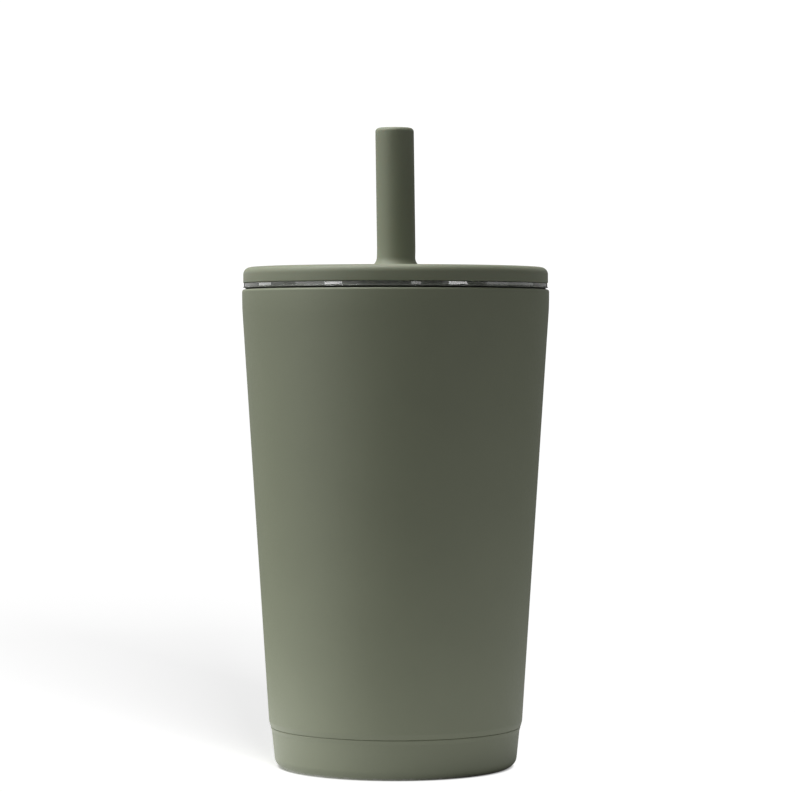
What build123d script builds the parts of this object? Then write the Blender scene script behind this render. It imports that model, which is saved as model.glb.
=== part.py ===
from build123d import *
import os

# Insulated tumbler: a double-wall steel cup, a clear plug lid in its mouth, and a soft cover on the
# lid with an upright drinking spout and a straw tube below it.
# Millimetres, +Z up. The origin is the centre of the base, on the surface the cup stands on.
# Everything but the vent holes and the getter is a body of revolution about Z.

# ---- driving dimensions ----
# cup, outer wall
rim_r = 45.0
rim_top = 139.82
rim_corner = 0.7
wall_slope = 0.0643
step_top_r = 37.18
step_top_z = 13.4
crease_r = 36.38
crease_z = 10.5
shell_t = 0.6

# cup, inner wall
mouth_r = 41.1
mouth_depth = 6.3
liner_t = 0.5
floor_z = 9.8
floor_round = 11.0

# cup, base: welded to the outer wall on the slope of the step
seam_z = 11.8
seam_round = 0.3
foot_r = 35.3
heel_round = 3.0
foot_inner_r = 29.6
base_t = 0.6
panel_z = 2.9
panel_r = 27.6
dimple_z = 4.1
dimple_r = 3.4
dimple_edge_r = 4.6
pump_hole_r = 0.8
cover_disc_r = 26.8
cover_disc_t = 0.5
cover_disc_press = 0.35
pressed_r = 21.0
pressed_edge_r = 22.0

# lid
lid_r = 44.66
lid_gap = 0.05
bead_r = 44.0
bead_t = 0.42
flange_t = 1.34
edge_step = 0.2
edge_step_z = 0.15
seat_r = 40.8
seat_fit = 0.1
seat_t = 2.37
plug_r = 39.4
plug_t = 2.0
plug_bottom = 126.0
groove_r = 39.0
groove_low = 130.2
groove_high = 133.4
land_r = 40.3
land_t = 1.2
collar_r = 7.8
collar_t = 1.8
collar_bottom = 138.0
vent_y = 24.0
lid_vent_r = 1.2
cover_vent_r = 0.9

# cover, spout and straw
cover_top = 146.3
cover_round = 2.1
spout_r = 5.65
spout_tip = 187.2
spout_foot_round = 3.0
spout_tip_round = 1.2
spout_bore_r = 3.2
straw_r = 4.0
straw_bore_r = 3.0
straw_fit = 0.03
straw_top = 149.95
straw_bottom = 15.8
boss_r = 7.7
boss_bottom = 136.5

# ---- derived dimensions ----
taper_top_z = step_top_z + (rim_r - step_top_r) / wall_slope
mouth_z = rim_top - mouth_depth
liner_floor_r = mouth_r - wall_slope * (mouth_z - floor_z)
seam_r = crease_r + (seam_z - crease_z) * (step_top_r - crease_r) / (step_top_z - crease_z)
bead_z = rim_top + lid_gap
flange_z = bead_z + bead_t
flange_top = flange_z + flange_t
seat_top = flange_top + seat_t

os.makedirs("parts", exist_ok=True)


def save(piece, name):
    piece.part.label = name
    export_step(piece.part, f"parts/{name}.step")


def closed_outline(*corners):
    """A closed outline through corners given as (r, z, corner radius)."""
    points = [(r, z) for r, z, _ in corners]
    FilletPolyline(*points, radius=[radius for _, _, radius in corners], close=True)


# ---- outer_shell: from the weld on the step up the straight taper and over the rounded rim ----
with BuildPart() as outer_shell:
    with BuildSketch(Plane.XZ):
        with BuildLine():
            outside = FilletPolyline(
                (seam_r, seam_z),
                (step_top_r, step_top_z),
                (rim_r, taper_top_z),
                (rim_r, rim_top),
                (mouth_r + liner_t, rim_top),
                radius=[2.0, 60.0, rim_corner],
            )
            offset(outside, amount=shell_t, side=Side.LEFT)
        make_face()
    revolve(axis=Axis.Z)
    fillet(outer_shell.edges().filter_by(GeomType.CIRCLE).sort_by(Axis.Z)[0], radius=seam_round)
save(outer_shell, "outer_shell")

# ---- inner_liner: flat floor, rounded corner, taper, straight mouth that seats the lid ----
with BuildPart() as inner_liner:
    with BuildSketch(Plane.XZ):
        with BuildLine():
            inside = FilletPolyline(
                (0, floor_z),
                (liner_floor_r, floor_z),
                (mouth_r, mouth_z),
                (mouth_r, rim_top),
                radius=[floor_round, 60.0],
            )
            offset(inside, amount=liner_t, side=Side.RIGHT)
        make_face()
    revolve(axis=Axis.Z)
    lip_edges = inner_liner.edges().filter_by(GeomType.CIRCLE).group_by(Axis.Z)[-1]
    fillet(lip_edges.sort_by(SortBy.RADIUS)[0], radius=0.3)
save(inner_liner, "inner_liner")

# ---- outer_base: deep-pressed foot with its band, rounded heel, foot ring and pump-out dimple ----
with BuildPart() as outer_base:
    with BuildSketch(Plane.XZ):
        with BuildLine():
            underside = FilletPolyline(
                (pump_hole_r, dimple_z),
                (dimple_r, dimple_z),
                (dimple_edge_r, panel_z),
                (panel_r, panel_z),
                (foot_inner_r, 0),
                (foot_r, 0),
                (crease_r, crease_z),
                (seam_r, seam_z),
                radius=[0.8, 0.8, 1.0, 1.0, heel_round, 1.0],
            )
            offset(underside, amount=base_t, side=Side.LEFT)
        make_face()
    revolve(axis=Axis.Z)
    seam_edges = outer_base.edges().filter_by(GeomType.CIRCLE).group_by(Axis.Z)
    fillet(seam_edges[-2], radius=seam_round)
save(outer_base, "outer_base")

# ---- vacuum_seal: a drop of solder glass in the dimple that plugs the pump-out hole ----
drop_r = 2.4
drop_h = 0.9
drop_curve = (drop_r**2 + drop_h**2) / (2 * drop_h)
with BuildPart() as vacuum_seal:
    with BuildSketch(Plane.XZ):
        with BuildLine():
            RadiusArc((0, dimple_z - drop_h), (drop_r, dimple_z), -drop_curve)
            Polyline(
                (drop_r, dimple_z),
                (pump_hole_r, dimple_z),
                (pump_hole_r, dimple_z + base_t),
                (0, dimple_z + base_t),
                (0, dimple_z - drop_h),
            )
        make_face()
    revolve(axis=Axis.Z)
save(vacuum_seal, "vacuum_seal")

# ---- base_cover: thin disc bonded under the base by its rim, its middle pressed down a little ----
rim_face_z = panel_z - cover_disc_t
with BuildPart() as base_cover:
    with BuildSketch(Plane.XZ):
        with BuildLine():
            face = FilletPolyline(
                (0, rim_face_z - cover_disc_press),
                (pressed_r, rim_face_z - cover_disc_press),
                (pressed_edge_r, rim_face_z),
                (cover_disc_r, rim_face_z),
                radius=[1.0, 1.0],
            )
            offset(face, amount=cover_disc_t, side=Side.LEFT)
        make_face()
    revolve(axis=Axis.Z)
save(base_cover, "base_cover")

# ---- getter and its clip, on the inner side of the base ----
getter_x = 15.0
getter_r = 3.5
getter_h = 2.0
clip_t = 0.3
clip_w = 5.0
clip_tab = 6.8
clip_leg = 4.1
clip_top = 3.8
getter_seat = panel_z + base_t
with BuildPart() as getter:
    with BuildSketch(Plane.XY.offset(getter_seat)):
        with Locations((getter_x, 0)):
            Circle(getter_r)
    extrude(amount=getter_h)
    fillet(getter.faces().sort_by(Axis.Z)[-1].edges(), radius=0.3)
save(getter, "getter")

with BuildPart() as getter_clip:
    with BuildSketch(Plane.XZ):
        with BuildLine():
            strip = FilletPolyline(
                (getter_x - clip_tab, getter_seat),
                (getter_x - clip_leg, getter_seat),
                (getter_x - clip_top, getter_seat + getter_h),
                (getter_x + clip_top, getter_seat + getter_h),
                (getter_x + clip_leg, getter_seat),
                (getter_x + clip_tab, getter_seat),
                radius=0.4,
            )
            offset(strip, amount=clip_t, side=Side.LEFT)
        make_face()
    extrude(amount=clip_w / 2, both=True)
save(getter_clip, "getter_clip")

# ---- radiation_foil: wrapped round the liner inside the vacuum ----
foil_low = 26.0
foil_high = 126.0
foil_off = 0.05
foil_t = 0.15


def liner_outside_r(z):
    return mouth_r + liner_t - wall_slope * (mouth_z - z)


with BuildPart() as radiation_foil:
    with BuildSketch(Plane.XZ):
        with BuildLine():
            Polyline(
                (liner_outside_r(foil_low) + foil_off, foil_low),
                (liner_outside_r(foil_low) + foil_off + foil_t, foil_low),
                (liner_outside_r(foil_high) + foil_off + foil_t, foil_high),
                (liner_outside_r(foil_high) + foil_off, foil_high),
                close=True,
            )
        make_face()
    revolve(axis=Axis.Z)
save(radiation_foil, "radiation_foil")

# ---- lid_body: clear flange on its bead, plug wall with a gasket groove, cover seat, collar ----
with BuildPart() as lid_body:
    with BuildSketch(Plane.XZ):
        with BuildLine():
            closed_outline(
                (plug_r - plug_t, plug_bottom, 0.5),
                (plug_r, plug_bottom, 0.8),
                (plug_r, groove_low - land_t, 0.3),
                (land_r, groove_low - land_t, 0.2),
                (land_r, groove_low, 0.2),
                (groove_r, groove_low, 0.2),
                (groove_r, groove_high, 0.2),
                (land_r, groove_high, 0.2),
                (land_r, groove_high + land_t, 0.2),
                (plug_r, groove_high + land_t, 0.3),
                (plug_r, bead_z, 0.8),
                (bead_r, bead_z, 0.15),
                (bead_r, flange_z, 0.1),
                (lid_r, flange_z, 0.1),
                (lid_r, flange_z + edge_step_z, 0.05),
                (lid_r - edge_step, flange_z + edge_step_z + edge_step, 0.1),
                (lid_r - edge_step, flange_top, 0.2),
                (seat_r, flange_top, 0.3),
                (seat_r, seat_top, 0.6),
                (collar_r, seat_top, 0.3),
                (collar_r, collar_bottom, 0.4),
                (collar_r + collar_t, collar_bottom, 0.4),
                (collar_r + collar_t, seat_top - plug_t, 0.8),
                (plug_r - plug_t, seat_top - plug_t, 1.5),
            )
        make_face()
    revolve(axis=Axis.Z)
    with Locations((0, vent_y, seat_top)):
        Hole(radius=lid_vent_r)
save(lid_body, "lid_body")

# ---- lid_gasket: two-lip ring in the plug's groove, just inside the liner's mouth ----
gasket_play = 0.1
gasket_low = groove_low + gasket_play
gasket_high = groove_high - gasket_play
gasket_mid = (gasket_low + gasket_high) / 2
lip_root_r = 39.9
lip_tip_r = 40.62
lip_t = 0.3
lip_rise = 0.6
lip_fall = 0.2
lip_gap = 0.4
with BuildPart() as lid_gasket:
    with BuildSketch(Plane.XZ):
        with BuildLine():
            FilletPolyline(
                (groove_r, gasket_low),
                (lip_root_r, gasket_low),
                (lip_tip_r, gasket_low + lip_rise),
                (lip_tip_r, gasket_low + lip_rise + lip_t),
                (lip_root_r, gasket_mid - lip_gap / 2),
                (lip_root_r, gasket_mid + lip_gap / 2),
                (lip_tip_r, gasket_high - lip_fall - lip_t),
                (lip_tip_r, gasket_high - lip_fall),
                (lip_root_r, gasket_high),
                (groove_r, gasket_high),
                radius=0.1,
                close=True,
            )
        make_face()
    revolve(axis=Axis.Z)
save(lid_gasket, "lid_gasket")

# ---- lid_cover: soft cap on the lid's seat, spout above, boss with the straw socket below ----
with BuildPart() as lid_cover:
    with BuildSketch(Plane.XZ):
        with BuildLine():
            closed_outline(
                (straw_r + straw_fit, boss_bottom, 0.4),
                (boss_r, boss_bottom, 0.6),
                (boss_r, seat_top + lid_gap, 0),
                (seat_r + seat_fit, seat_top + lid_gap, 0.3),
                (seat_r + seat_fit, flange_top + lid_gap, 0.3),
                (lid_r, flange_top + lid_gap, 0.2),
                (lid_r, cover_top, cover_round),
                (spout_r, cover_top, spout_foot_round),
                (spout_r, spout_tip, spout_tip_round),
                (spout_bore_r, spout_tip, 0.5),
                (spout_bore_r, straw_top + lid_gap, 0),
                (straw_r + straw_fit, straw_top + lid_gap, 0),
            )
        make_face()
    revolve(axis=Axis.Z)
    with Locations((0, vent_y, cover_top)):
        Hole(radius=cover_vent_r)
save(lid_cover, "lid_cover")

# ---- straw_tube: pushed up into the cover's socket, ends just above the cup's floor ----
with BuildPart() as straw_tube:
    with BuildSketch(Plane.XY.offset(straw_bottom)):
        Circle(straw_r)
        Circle(straw_bore_r, mode=Mode.SUBTRACT)
    extrude(amount=straw_top - straw_bottom)
    fillet(straw_tube.edges().filter_by(GeomType.CIRCLE), radius=0.2)
save(straw_tube, "straw_tube")
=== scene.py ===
import math

import bmesh
import bpy
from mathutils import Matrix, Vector


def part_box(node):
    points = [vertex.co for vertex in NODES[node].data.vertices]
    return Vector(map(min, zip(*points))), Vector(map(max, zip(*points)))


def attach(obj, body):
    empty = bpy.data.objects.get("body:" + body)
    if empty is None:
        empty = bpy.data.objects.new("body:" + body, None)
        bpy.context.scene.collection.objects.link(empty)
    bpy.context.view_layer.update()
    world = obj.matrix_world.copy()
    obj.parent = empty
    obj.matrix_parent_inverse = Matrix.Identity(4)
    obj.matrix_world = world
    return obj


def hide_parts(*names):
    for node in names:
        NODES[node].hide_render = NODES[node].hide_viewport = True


# An insulated tumbler on a white sweep: powder-coated cup, clear lid, soft sage cover with its spout.
# Metres, in the frame's own coordinates: +Z up, the foot on z = 0, the front towards -Y.

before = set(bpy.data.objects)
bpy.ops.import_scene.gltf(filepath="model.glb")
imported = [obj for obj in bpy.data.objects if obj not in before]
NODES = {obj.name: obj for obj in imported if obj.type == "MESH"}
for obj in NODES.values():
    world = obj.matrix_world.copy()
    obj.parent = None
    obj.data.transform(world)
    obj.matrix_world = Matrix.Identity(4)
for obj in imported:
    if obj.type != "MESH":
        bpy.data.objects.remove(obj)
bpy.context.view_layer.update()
MM = 0.001

# ---- places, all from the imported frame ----
COVER_LOW, COVER_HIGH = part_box("lid_cover")
LID_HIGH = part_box("lid_body")[1]
CUP_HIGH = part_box("outer_shell")[1]
GASKET_LOW, GASKET_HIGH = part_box("lid_gasket")
STRAW_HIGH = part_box("straw_tube")[1]
BEAD_TOP = CUP_HIGH.z + 0.47 * MM   # the thin bead under the edge of the lid's flange
GAP_SHADE_R = (42.5 * MM, 43.0 * MM)     # radii where the painted shade for the gap under the flange starts and is full
SPOUT_TIP = COVER_HIGH.z


# ================================ mesh helpers ================================

def line(a, b, steps):
    """Points (r, z) strictly between a and b."""
    return [(a[0] + (b[0] - a[0]) * i / steps, a[1] + (b[1] - a[1]) * i / steps) for i in range(1, steps)]


def rounded(corners, steps, spacing):
    """A closed outline through corners (r, z, radius): arcs at the corners, evenly divided runs between."""
    outline = []
    count = len(corners)
    for i in range(count):
        here = Vector(corners[i][:2])
        before = (Vector(corners[i - 1][:2]) - here).normalized()
        after = (Vector(corners[(i + 1) % count][:2]) - here).normalized()
        radius = corners[i][2]
        if radius == 0:
            outline.append(tuple(here))
            continue
        half = before.angle(after) / 2
        reach = radius / math.tan(half)
        centre = here + (before + after).normalized() * (radius / math.sin(half))
        first = here + before * reach - centre
        last = here + after * reach - centre
        turn = math.atan2(first.x * last.y - first.y * last.x, first.dot(last))
        for k in range(steps + 1):
            a = turn * k / steps
            outline.append((
                centre.x + first.x * math.cos(a) - first.y * math.sin(a),
                centre.y + first.x * math.sin(a) + first.y * math.cos(a),
            ))
    divided = []
    for i, here in enumerate(outline):
        there = outline[(i + 1) % len(outline)]
        divided.append(here)
        gap = math.dist(here, there)
        divided.extend(line(here, there, max(1, math.ceil(gap / spacing))))
    return divided


def lathe(name, outline, segments):
    """A closed ring swept about Z from a closed outline of (r, z) points."""
    mesh = bpy.data.meshes.new(name)
    verts = []
    for k in range(segments):
        a = 2 * math.pi * k / segments
        verts.extend((r * math.cos(a), r * math.sin(a), z) for r, z in outline)
    count = len(outline)
    faces = []
    for k in range(segments):
        here, there = k * count, ((k + 1) % segments) * count
        for i in range(count):
            j = (i + 1) % count
            faces.append((here + i, there + i, there + j, here + j))
    mesh.from_pydata(verts, [], faces)
    mesh.validate()
    build = bmesh.new()
    build.from_mesh(mesh)
    bmesh.ops.recalc_face_normals(build, faces=build.faces)
    build.to_mesh(mesh)
    build.free()
    mesh.shade_smooth()
    piece = bpy.data.objects.new(name, mesh)
    bpy.context.scene.collection.objects.link(piece)
    return piece


def drill(piece, x, y, z_low, z_high, radius):
    """Cuts a round hole along Z, with the boolean applied so that the mesh is final."""
    bpy.ops.mesh.primitive_cylinder_add(
        vertices=48, radius=radius, depth=z_high - z_low, location=(x, y, (z_low + z_high) / 2))
    cutter = bpy.context.object
    cut = piece.modifiers.new("hole", "BOOLEAN")
    cut.object = cutter
    cut.operation = "DIFFERENCE"
    cut.solver = "EXACT"
    graph = bpy.context.evaluated_depsgraph_get()
    cleaned = bpy.data.meshes.new_from_object(piece.evaluated_get(graph))
    piece.modifiers.clear()
    piece.data = cleaned
    bpy.data.objects.remove(cutter)
    for polygon in piece.data.polygons:
        polygon.use_smooth = True
    piece.data.set_sharp_from_angle(angle=math.radians(40))


# ================================ material helpers ================================

class Graph:
    """A Principled material whose nodes are added by short calls. Patterns use object coordinates."""

    def __init__(self, name, **sockets):
        self.material = bpy.data.materials.new(name)
        self.material.use_nodes = True
        self.tree = self.material.node_tree
        self.shader = self.tree.nodes["Principled BSDF"]
        for key, value in sockets.items():
            self.shader.inputs[key.replace("_", " ")].default_value = value
        self.place = self.add("ShaderNodeTexCoord").outputs["Object"]

    def add(self, kind, links=None, **settings):
        node = self.tree.nodes.new(kind)
        for key, value in settings.items():
            setattr(node, key, value)
        for key, value in (links or {}).items():
            self.feed(node.inputs[key], value)
        return node

    def feed(self, socket, value):
        if isinstance(value, bpy.types.NodeSocket):
            self.tree.links.new(value, socket)
        else:
            socket.default_value = value

    def math(self, operation, a, b=0.0):
        return self.add("ShaderNodeMath", {0: a, 1: b}, operation=operation).outputs[0]

    def vector(self, operation, a, b=(0.0, 0.0, 0.0)):
        return self.add("ShaderNodeVectorMath", {0: a, 1: b}, operation=operation)

    def split(self):
        return self.add("ShaderNodeSeparateXYZ", {0: self.place}).outputs

    def from_axis(self):
        """Distance from the vertical axis."""
        x, y, _ = self.split()
        return self.math("SQRT", self.math("ADD", self.math("MULTIPLY", x, x), self.math("MULTIPLY", y, y)))

    def stretched(self, x, y, z):
        node = self.add("ShaderNodeMapping", {"Vector": self.place, "Scale": (x, y, z)})
        return node.outputs["Vector"]

    def noise(self, size, detail=2.0, rough=0.5, place=None):
        """Noise whose blobs are about size metres across, from 0 to 1."""
        node = self.add("ShaderNodeTexNoise", {"Vector": place or self.place})
        for key, value in (("Scale", 1.0 / size), ("Detail", detail), ("Roughness", rough)):
            node.inputs[key].default_value = value
        return node.outputs["Fac"]

    def span(self, value, low, high, to_low=0.0, to_high=1.0):
        node = self.add("ShaderNodeMapRange", {"Value": value}, clamp=True)
        for key, value in (("From Min", low), ("From Max", high), ("To Min", to_low), ("To Max", to_high)):
            node.inputs[key].default_value = value
        return node.outputs["Result"]

    def mix(self, share, a, b):
        node = self.add("ShaderNodeMix", data_type="RGBA")
        self.feed(node.inputs["Factor"], share)
        self.feed(node.inputs[6], a)
        self.feed(node.inputs[7], b)
        return node.outputs[2]

    def bump(self, height, distance, strength=1.0, under=None):
        links = {"Height": height, "Distance": distance, "Strength": strength}
        if under is not None:
            links["Normal"] = under
        return self.add("ShaderNodeBump", links).outputs["Normal"]

    def use(self, **sockets):
        for key, value in sockets.items():
            self.feed(self.shader.inputs[key.replace("_", " ")], value)
        return self.material


def rgb(r, g, b):
    return (r, g, b, 1.0)


def tinted(colour, factor):
    return rgb(*(c * factor for c in colour[:3]))


SAGE = rgb(0.152, 0.167, 0.112)
WHITE = rgb(1.0, 1.0, 1.0)


def powder_coat():
    """Matte sage powder coat: fine pebble texture, faint mottling, rubbed foot."""
    g = Graph("powder_coat_sage", Specular_IOR_Level=0.42)
    pebble = g.noise(0.42 * MM, 2.0, 0.55)
    peel = g.noise(1.6 * MM, 1.0)
    mottle = g.noise(28 * MM, 3.0, 0.6)
    speck = g.noise(0.9 * MM, 4.0, 0.7)
    base = g.mix(g.span(mottle, 0.3, 0.7), tinted(SAGE, 0.97), tinted(SAGE, 1.03))
    base = g.mix(g.span(speck, 0.35, 0.7, 0.0, 0.12), base, tinted(SAGE, 1.25))
    height = g.split()[2]
    foot = g.span(height, 0.9 * MM, 0.1 * MM)
    scuff = g.math("MULTIPLY", foot, g.span(g.noise(1.3 * MM, 4.0, 0.7), 0.45, 0.62))
    base = g.mix(scuff, base, rgb(0.33, 0.33, 0.31))
    normal = g.bump(peel, 0.03 * MM, 0.5)
    normal = g.bump(pebble, 0.035 * MM, 0.75, under=normal)
    rough = g.span(speck, 0.3, 0.7, 0.50, 0.62)
    return g.use(Base_Color=base, Roughness=rough, Normal=normal)


def soft_silicone():
    """The cover's moulded silicone: satin-matte skin, very fine grain, faint cloudiness."""
    g = Graph("cover_silicone_sage", Subsurface_Weight=0.06, Subsurface_Scale=0.0012,
              Specular_IOR_Level=0.38, Sheen_Weight=0.04)
    grain = g.noise(0.22 * MM, 3.0, 0.6)
    cloud = g.noise(14 * MM, 3.0, 0.55)
    lint = g.noise(0.6 * MM, 5.0, 0.75)
    base = g.mix(g.span(cloud, 0.3, 0.7), tinted(SAGE, 0.98), tinted(SAGE, 1.04))
    base = g.mix(g.span(lint, 0.62, 0.75, 0.0, 0.15), base, tinted(SAGE, 1.6))
    rough = g.span(cloud, 0.3, 0.7, 0.54, 0.62)
    normal = g.bump(g.noise(5 * MM, 2.0), 0.04 * MM, 0.35)
    normal = g.bump(grain, 0.012 * MM, 0.6, under=normal)
    return g.use(Base_Color=base, Roughness=rough, Normal=normal)


def clear_plastic():
    """The lid's clear copolyester: polished, with faint ripples and scratches. Its bead is painted
    near-black, dull and opaque as shade for the gap under the flange.
    """
    g = Graph("clear_copolyester", IOR=1.54)
    ripple = g.noise(11 * MM, 1.0)
    scratch = g.noise(0.5 * MM, 3.0, 0.6, g.stretched(1.0, 1.0, 9.0))
    base = g.mix(g.span(ripple, 0.3, 0.7), rgb(0.86, 0.90, 0.80), rgb(0.92, 0.95, 0.87))
    # painted shade: under the flange the bead turns near-black, dull and opaque, standing in for the shadow
    # in the gap between lid and rim
    under_flange = g.span(g.split()[2], BEAD_TOP, BEAD_TOP - 0.05 * MM)
    painted_gap_shade = g.math("MULTIPLY", g.span(g.from_axis(), *GAP_SHADE_R), under_flange)
    base = g.mix(painted_gap_shade, base, rgb(0.012, 0.012, 0.010))
    rough = g.math("MAXIMUM", g.span(scratch, 0.45, 0.8, 0.02, 0.10), g.math("MULTIPLY", painted_gap_shade, 0.6))
    return g.use(
        Base_Color=base,
        Roughness=rough,
        Normal=g.bump(ripple, 0.05 * MM, 0.15),
        Transmission_Weight=g.span(painted_gap_shade, 0.0, 1.0, 0.9, 0.0),
        Specular_IOR_Level=g.span(painted_gap_shade, 0.0, 1.0, 0.5, 0.1),
    )


def turned_steel(name, tone, grain, rough_low, rough_high):
    """Bare stainless steel with marks that run round the axis."""
    g = Graph(name, Metallic=1.0, Anisotropic=0.35)
    lines = g.noise(grain, 3.0, 0.6, g.stretched(0.03, 0.03, 1.0))
    stain = g.noise(18 * MM, 3.0, 0.6)
    base = g.mix(g.span(lines, 0.2, 0.8), tinted(tone, 0.95), tone)
    base = g.mix(g.span(stain, 0.5, 0.75, 0.0, 0.25), base, tinted(tone, 0.75))
    rough = g.span(lines, 0.25, 0.75, rough_low, rough_high)
    normal = g.bump(lines, 0.005 * MM, 0.2)
    return g.use(Base_Color=base, Roughness=rough, Normal=normal)


def pressed_steel():
    """The base's cover disc and the getter's clip: satin stainless with rings left by the press tool."""
    g = Graph("pressed_steel", Metallic=1.0)
    rings = g.math("SINE", g.math("MULTIPLY", g.from_axis(), 2 * math.pi / (0.35 * MM)))
    grime = g.noise(6 * MM, 4.0, 0.65)
    tone = rgb(0.56, 0.56, 0.55)
    base = g.mix(g.span(grime, 0.45, 0.7), tone, tinted(tone, 0.82))
    rough = g.span(grime, 0.3, 0.7, 0.26, 0.42)
    normal = g.bump(rings, 0.004 * MM, 0.35)
    normal = g.bump(g.noise(0.4 * MM, 3.0), 0.006 * MM, 0.4, under=normal)
    return g.use(Base_Color=base, Roughness=rough, Normal=normal)


def seal_silicone():
    """The lid's gasket: milky translucent silicone."""
    g = Graph("seal_silicone", Subsurface_Weight=0.5, Subsurface_Scale=0.002, IOR=1.42)
    cloud = g.noise(4 * MM, 3.0)
    base = g.mix(cloud, rgb(0.62, 0.63, 0.60), rgb(0.72, 0.72, 0.69))
    rough = g.span(cloud, 0.3, 0.7, 0.38, 0.5)
    return g.use(Base_Color=base, Roughness=rough, Normal=g.bump(g.noise(0.3 * MM), 0.01 * MM, 0.5))


def straw_plastic():
    """The straw: extruded polypropylene, milky, with faint cloudiness and a slightly uneven skin."""
    g = Graph("straw_polypropylene", Transmission_Weight=0.3, Subsurface_Weight=0.2, Subsurface_Scale=0.002,
              IOR=1.49)
    cloud = g.noise(6 * MM, 2.0)
    base = g.mix(cloud, rgb(0.80, 0.81, 0.78), rgb(0.88, 0.88, 0.86))
    rough = g.span(g.noise(3 * MM, 3.0), 0.3, 0.7, 0.30, 0.40)
    return g.use(Base_Color=base, Roughness=rough, Normal=g.bump(g.noise(1.5 * MM, 1.0), 0.01 * MM, 0.3))


def foil():
    """The bright wrap inside the vacuum, crinkled."""
    g = Graph("bright_foil", Metallic=1.0)
    crease = g.noise(5 * MM, 4.0, 0.7)
    base = g.mix(crease, rgb(0.72, 0.72, 0.71), rgb(0.86, 0.86, 0.85))
    rough = g.span(crease, 0.3, 0.7, 0.14, 0.3)
    return g.use(Base_Color=base, Roughness=rough, Normal=g.bump(crease, 0.3 * MM, 0.6))


def pellet():
    """The getter: pressed grey powder, porous."""
    g = Graph("getter_pellet", Metallic=0.4)
    pores = g.noise(0.25 * MM, 5.0, 0.7)
    base = g.mix(g.span(pores, 0.3, 0.6), rgb(0.08, 0.08, 0.08), rgb(0.25, 0.24, 0.23))
    rough = g.span(pores, 0.3, 0.7, 0.6, 0.85)
    return g.use(Base_Color=base, Roughness=rough, Normal=g.bump(pores, 0.05 * MM, 0.8))


def solder_glass():
    """The vacuum seal: a dull drop of grey-brown solder glass."""
    g = Graph("solder_glass", IOR=1.6)
    swirl = g.noise(1.2 * MM, 4.0, 0.6)
    base = g.mix(swirl, rgb(0.10, 0.09, 0.07), rgb(0.22, 0.20, 0.16))
    rough = g.span(swirl, 0.3, 0.7, 0.12, 0.3)
    return g.use(Base_Color=base, Roughness=rough, Normal=g.bump(swirl, 0.05 * MM, 0.4))


def coat_node(name, material):
    """Gives a CAD node its material."""
    slots = NODES[name].data.materials
    slots.clear()
    slots.append(material)


# ================================ pieces ================================

COVER_TOP = LID_HIGH.z + 2.3 * MM
COVER_R = COVER_HIGH.x
SEAT_R = 40.9 * MM
SEAT_T = 2.37 * MM
SPOUT_R = 5.65 * MM
BORE_R = 3.2 * MM
SOCKET_R = 4.03 * MM
BOSS_R = 7.7 * MM
SPOUT_LEAN = math.radians(0.8)
SPOUT_SHIFT = 0.25 * MM
SPOUT_FADE = 0.125      # share of the spout's length over which the shift comes in
VENT_Y = 24.0 * MM
VENT_R = 0.9 * MM
SLACK = 0.05 * MM       # room between the cover and what it sits on
TOUCH = 0.01 * MM       # points this close to a face count as on it


def soft_cover(material):
    """The one-piece silicone cover: cap, spout with a rolled tip, boss and straw socket below."""
    flange_top = LID_HIGH.z - SEAT_T + SLACK
    seat_top = LID_HIGH.z + SLACK
    socket_top = STRAW_HIGH.z + SLACK
    outline = rounded([
        (SOCKET_R, COVER_LOW.z, 0.4 * MM),
        (BOSS_R, COVER_LOW.z, 0.6 * MM),
        (BOSS_R, seat_top, 0.3 * MM),
        (SEAT_R, seat_top, 0.3 * MM),
        (SEAT_R, flange_top, 0.3 * MM),
        (COVER_R, flange_top, 0.2 * MM),
        (COVER_R, COVER_TOP, 2.1 * MM),
        (SPOUT_R, COVER_TOP, 3.0 * MM),
        (SPOUT_R, SPOUT_TIP, 1.2 * MM),
        (BORE_R, SPOUT_TIP, 0.6 * MM),
        (BORE_R, socket_top, 0.0),
        (SOCKET_R, socket_top, 0.0),
    ], steps=10, spacing=1.6 * MM)
    piece = lathe("silicone_cover", outline, segments=224)
    drill(piece, 0.0, VENT_Y, seat_top - 1 * MM, COVER_TOP + 1 * MM, VENT_R)
    # the spout starts a little right of centre and leans to the left; the straw's socket stays straight
    length = SPOUT_TIP - COVER_TOP
    for v in piece.data.vertices:
        rise = (v.co.z - COVER_TOP) / length
        in_socket = v.co.z < socket_top + TOUCH and math.hypot(v.co.x, v.co.y) < SOCKET_R + TOUCH
        if rise > 0 and not in_socket:
            v.co.x += (SPOUT_SHIFT - math.tan(SPOUT_LEAN) * length * rise) * min(1.0, rise / SPOUT_FADE)
    piece.data.materials.append(material)
    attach(piece, "cover")
    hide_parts("lid_cover")


def gasket(material):
    """The two-lip wiper ring, its lips drawn out finer than the solid that stands for it."""
    low, high = GASKET_LOW.z, GASKET_HIGH.z
    middle = (low + high) / 2
    groove, root, tip = 39.0 * MM, 39.9 * MM, GASKET_HIGH.x
    outline = rounded([
        (groove, low, 0.12 * MM),
        (root, low, 0.15 * MM),
        (tip, low + 0.65 * MM, 0.1 * MM),
        (tip, low + 0.9 * MM, 0.1 * MM),
        (root, middle - 0.2 * MM, 0.2 * MM),
        (root, middle + 0.2 * MM, 0.2 * MM),
        (tip, high - 0.5 * MM, 0.1 * MM),
        (tip, high - 0.25 * MM, 0.1 * MM),
        (root, high, 0.15 * MM),
        (groove, high, 0.12 * MM),
    ], steps=5, spacing=0.5 * MM)
    piece = lathe("seal_ring", outline, segments=192)
    piece.data.materials.append(material)
    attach(piece, "lid")
    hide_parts("lid_gasket")


# ================================ stage ================================

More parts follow.
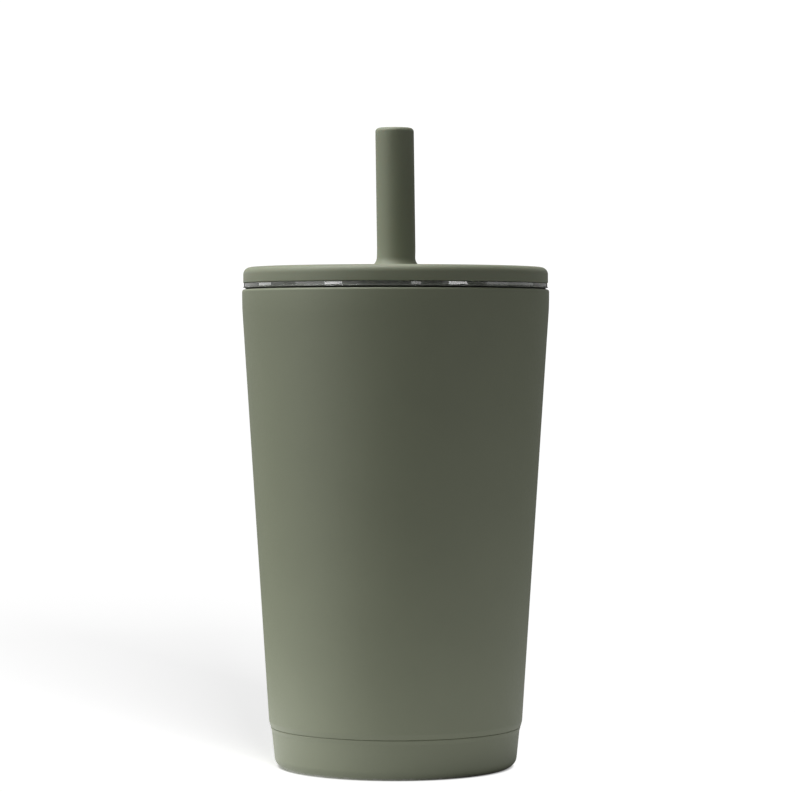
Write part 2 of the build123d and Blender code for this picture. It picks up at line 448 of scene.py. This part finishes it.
AIM = Vector((0.0, 0.0, 0.09))
RIG_DISTANCE = 1.6
FLOOR_SIZE = 60.0
FLOOR_WHITE = 0.985     # as the camera sees it
FLOOR_ALBEDO = 0.79
FLOOR_GLOW = 0.08       # thrown up by the whole floor, besides the pools
WORLD_WHITE = 1.05      # as the camera sees it
WORLD_GLOW = 0.056      # as it lights the tumbler
SHADOW_DEPTH = 0.235    # what the shadow lamp adds to the floor's white
SHADOW_LAMP = (14.5, 14.5)      # azimuth and elevation in degrees
SHADOW_LAMP_SIZE = (0.85, 0.65)
SHADOW_DISTANCE = 2.4
SENSOR = 36.0           # mm, as is the lens
LENS = 142.9
EYE = (0.00055, -0.9262, 0.1246)
EYE_DOWN = 0.99         # degrees below level

# the lamps on the tumbler: name, azimuth and elevation in degrees, width and height in metres, watts
LAMPS = [
    ("left_key", -80, 22, (1.1, 1.1), 7.1),
    ("left_low", -62, 4, (1.0, 0.35), 2.35),
    ("left_high", -90, 52, (0.9, 0.9), 17.2),
    ("left_back", -105, 12, (0.7, 0.9), 0.95),
    ("left_top", -80, 76, (0.9, 0.9), 21.5),
    ("front_left", -40, 12, (0.8, 0.8), 1.3),
    ("front", -10, 20, (0.7, 0.7), 0.3),
    ("front_top", 0, 72, (0.8, 0.8), 1.0),
    ("right", 42, 10, (0.4, 1.2), 1.25),
    ("right_side", 82, 12, (0.6, 1.2), 1.45),
    ("back_right", 145, 22, (1.0, 1.5), 1.5),
    ("back_left", -145, 22, (1.1, 1.5), 3.0),
    ("back_top", 180, 72, (0.8, 0.8), 8.0),
    ("glint_left_back", -116, 3, (0.5, 0.06), 0.33),
    ("glint_left_front", -47, 3, (0.4, 0.06), 0.6),
    ("glint_middle", 15, 3, (0.2, 0.06), 0.13),
    ("glint_right", 47, 3, (0.42, 0.06), 0.6),
    ("glint_right_side", 98, 3, (1.7, 0.12), 0.7),
]


def direction(azimuth, elevation):
    """Unit vector from the tumbler. Azimuth 0 is the camera's side, positive to the right."""
    a, e = math.radians(azimuth), math.radians(elevation)
    return Vector((math.sin(a) * math.cos(e), -math.cos(a) * math.cos(e), math.sin(e)))


SHADOW_LAMP_AT = AIM + direction(*SHADOW_LAMP) * SHADOW_DISTANCE


def glow(g, centre, inner, outer, strength):
    """A round pool of light on the floor: full inside inner, gone at outer."""
    offset = g.vector("DISTANCE", g.place, (*centre, 0.0)).outputs["Value"]
    return g.span(offset, inner, outer, strength, 0.0)


def white_sweep():
    """The pale floor. It looks white, takes the shadow of its own lamp, and throws soft light back up."""
    bpy.ops.mesh.primitive_plane_add(size=FLOOR_SIZE, location=(0, 0, 0))
    floor = bpy.context.object
    floor.name = "floor"
    g = Graph("floor_white", Roughness=1.0, Specular_IOR_Level=0.0, Emission_Color=WHITE)
    grain = g.noise(40 * MM, 2.0)
    base = g.mix(grain, tinted(WHITE, FLOOR_ALBEDO - 0.01), tinted(WHITE, FLOOR_ALBEDO + 0.01))
    # painted shade: ambient occlusion darkens the floor's white where it meets the foot
    painted_contact_shade = g.add("ShaderNodeAmbientOcclusion", {"Distance": 0.8 * MM}, samples=16).outputs["AO"]
    # to the camera, the floor's own white makes up for what the shadow lamp loses with distance
    offset = g.vector("SUBTRACT", g.place, SHADOW_LAMP_AT).outputs["Vector"]
    reach = g.vector("LENGTH", offset).outputs["Value"]
    ahead = g.vector("DOT_PRODUCT", offset, -direction(*SHADOW_LAMP)).outputs["Value"]
    spread = g.math("MULTIPLY", g.math("MAXIMUM", ahead, 0.0), g.math("POWER", reach, -4.0))
    share = g.math("MULTIPLY", spread, SHADOW_DEPTH * SHADOW_LAMP_AT.length ** 3)
    seen = g.math("MULTIPLY", painted_contact_shade, g.math("MAXIMUM", g.math("SUBTRACT", FLOOR_WHITE, share), 0.0))
    # pools of bounce light that the camera doesn't see
    left = glow(g, (-75 * MM, 0.0), 0.0, 100 * MM, 2.0)
    right = glow(g, (110 * MM, 0.0), 50 * MM, 320 * MM, 0.95)
    front = glow(g, (16 * MM, -60 * MM), 0.0, 70 * MM, 0.5)
    # painted shade: the pools' glow is dimmed close to the foot
    middle = g.vector("LENGTH", g.place).outputs["Value"]
    near_right = g.span(middle, 36 * MM, 60 * MM, 0.03, 1.0)
    near_front = g.span(middle, 34 * MM, 39 * MM, 0.05, 1.0)
    pools = g.math("ADD", front, g.math("MULTIPLY", right, near_right))
    bounce = g.math("ADD", left, g.math("MULTIPLY", g.math("ADD", pools, FLOOR_GLOW), near_front))
    g.use(Base_Color=base, Emission_Strength=seen)
    thrown = g.add("ShaderNodeEmission", {"Strength": bounce})
    choose = g.add("ShaderNodeMixShader")
    links = g.tree.links
    path = g.add("ShaderNodeLightPath").outputs
    links.new(g.math("MAXIMUM", path["Is Camera Ray"], path["Is Transmission Ray"]), choose.inputs[0])
    links.new(thrown.outputs[0], choose.inputs[1])
    links.new(g.shader.outputs[0], choose.inputs[2])
    links.new(choose.outputs[0], g.tree.nodes["Material Output"].inputs["Surface"])
    floor.data.materials.append(g.material)
    return floor


def softbox(name, azimuth, elevation, size, power, receivers, distance=RIG_DISTANCE):
    """A soft rectangular lamp aimed at the tumbler."""
    light = bpy.data.lights.new(name, "AREA")
    light.shape = "RECTANGLE"
    light.size, light.size_y = size
    light.energy = power
    lamp = bpy.data.objects.new(name, light)
    away = direction(azimuth, elevation)
    lamp.location = AIM + away * distance
    lamp.rotation_euler = (-away).to_track_quat("-Z", "Y").to_euler()
    lamp.visible_camera = False
    bpy.context.scene.collection.objects.link(lamp)
    lamp.light_linking.receiver_collection = receivers


def lamps(floor):
    """Strong light on the left and overhead, weak fill elsewhere, and the lamp for the floor's shadow."""
    on_floor = bpy.data.collections.new("lit_floor")
    on_floor.objects.link(floor)
    off_floor = bpy.data.collections.new("lit_tumbler")
    off_floor.objects.link(floor)
    off_floor.collection_objects[0].light_linking.link_state = "EXCLUDE"
    for lamp in LAMPS:
        softbox(*lamp, off_floor)
    power = SHADOW_DEPTH * math.pi ** 2 * SHADOW_LAMP_AT.length ** 3 / (FLOOR_ALBEDO * SHADOW_LAMP_AT.z)
    softbox("floor_shadow", *SHADOW_LAMP, SHADOW_LAMP_SIZE, power, on_floor, SHADOW_DISTANCE)


def studio_world():
    """White to the eye, and almost dark as a light."""
    world = bpy.data.worlds.new("studio")
    bpy.context.scene.world = world
    world.use_nodes = True
    tree = world.node_tree
    tree.nodes.clear()
    lighting = tree.nodes.new("ShaderNodeBackground")
    lighting.inputs["Strength"].default_value = WORLD_GLOW
    seen = tree.nodes.new("ShaderNodeBackground")
    seen.inputs["Strength"].default_value = WORLD_WHITE
    for node in (lighting, seen):
        node.inputs["Color"].default_value = WHITE
    choose = tree.nodes.new("ShaderNodeMixShader")
    path = tree.nodes.new("ShaderNodeLightPath")
    either = tree.nodes.new("ShaderNodeMath")
    either.operation = "MAXIMUM"
    output = tree.nodes.new("ShaderNodeOutputWorld")
    tree.links.new(path.outputs["Is Camera Ray"], either.inputs[0])
    tree.links.new(path.outputs["Is Transmission Ray"], either.inputs[1])
    tree.links.new(either.outputs[0], choose.inputs[0])
    tree.links.new(lighting.outputs[0], choose.inputs[1])
    tree.links.new(seen.outputs[0], choose.inputs[2])
    tree.links.new(choose.outputs[0], output.inputs["Surface"])


def camera():
    """Almost level, a little below the lid, from about 0.93 m in front."""
    data = bpy.data.cameras.new("camera")
    data.sensor_width = SENSOR
    data.lens = LENS
    eye = bpy.data.objects.new("camera", data)
    eye.location = EYE
    eye.rotation_euler = (math.radians(90 - EYE_DOWN), 0.0, 0.0)
    bpy.context.scene.collection.objects.link(eye)
    bpy.context.scene.camera = eye


# ================================ build ================================

sage_coat = powder_coat()
bare_steel = turned_steel("liner_steel", rgb(0.72, 0.72, 0.70), 0.5 * MM, 0.30, 0.38)
stamped = pressed_steel()
coat_node("outer_shell", sage_coat)
coat_node("inner_liner", bare_steel)
coat_node("outer_base", sage_coat)
coat_node("base_cover", stamped)
coat_node("getter_clip", stamped)
coat_node("vacuum_seal", solder_glass())
coat_node("getter", pellet())
coat_node("radiation_foil", foil())
coat_node("lid_body", clear_plastic())
coat_node("straw_tube", straw_plastic())
soft_cover(soft_silicone())
gasket(seal_silicone())

lamps(white_sweep())
studio_world()
camera()
bpy.context.scene.view_settings.view_transform = "Standard"
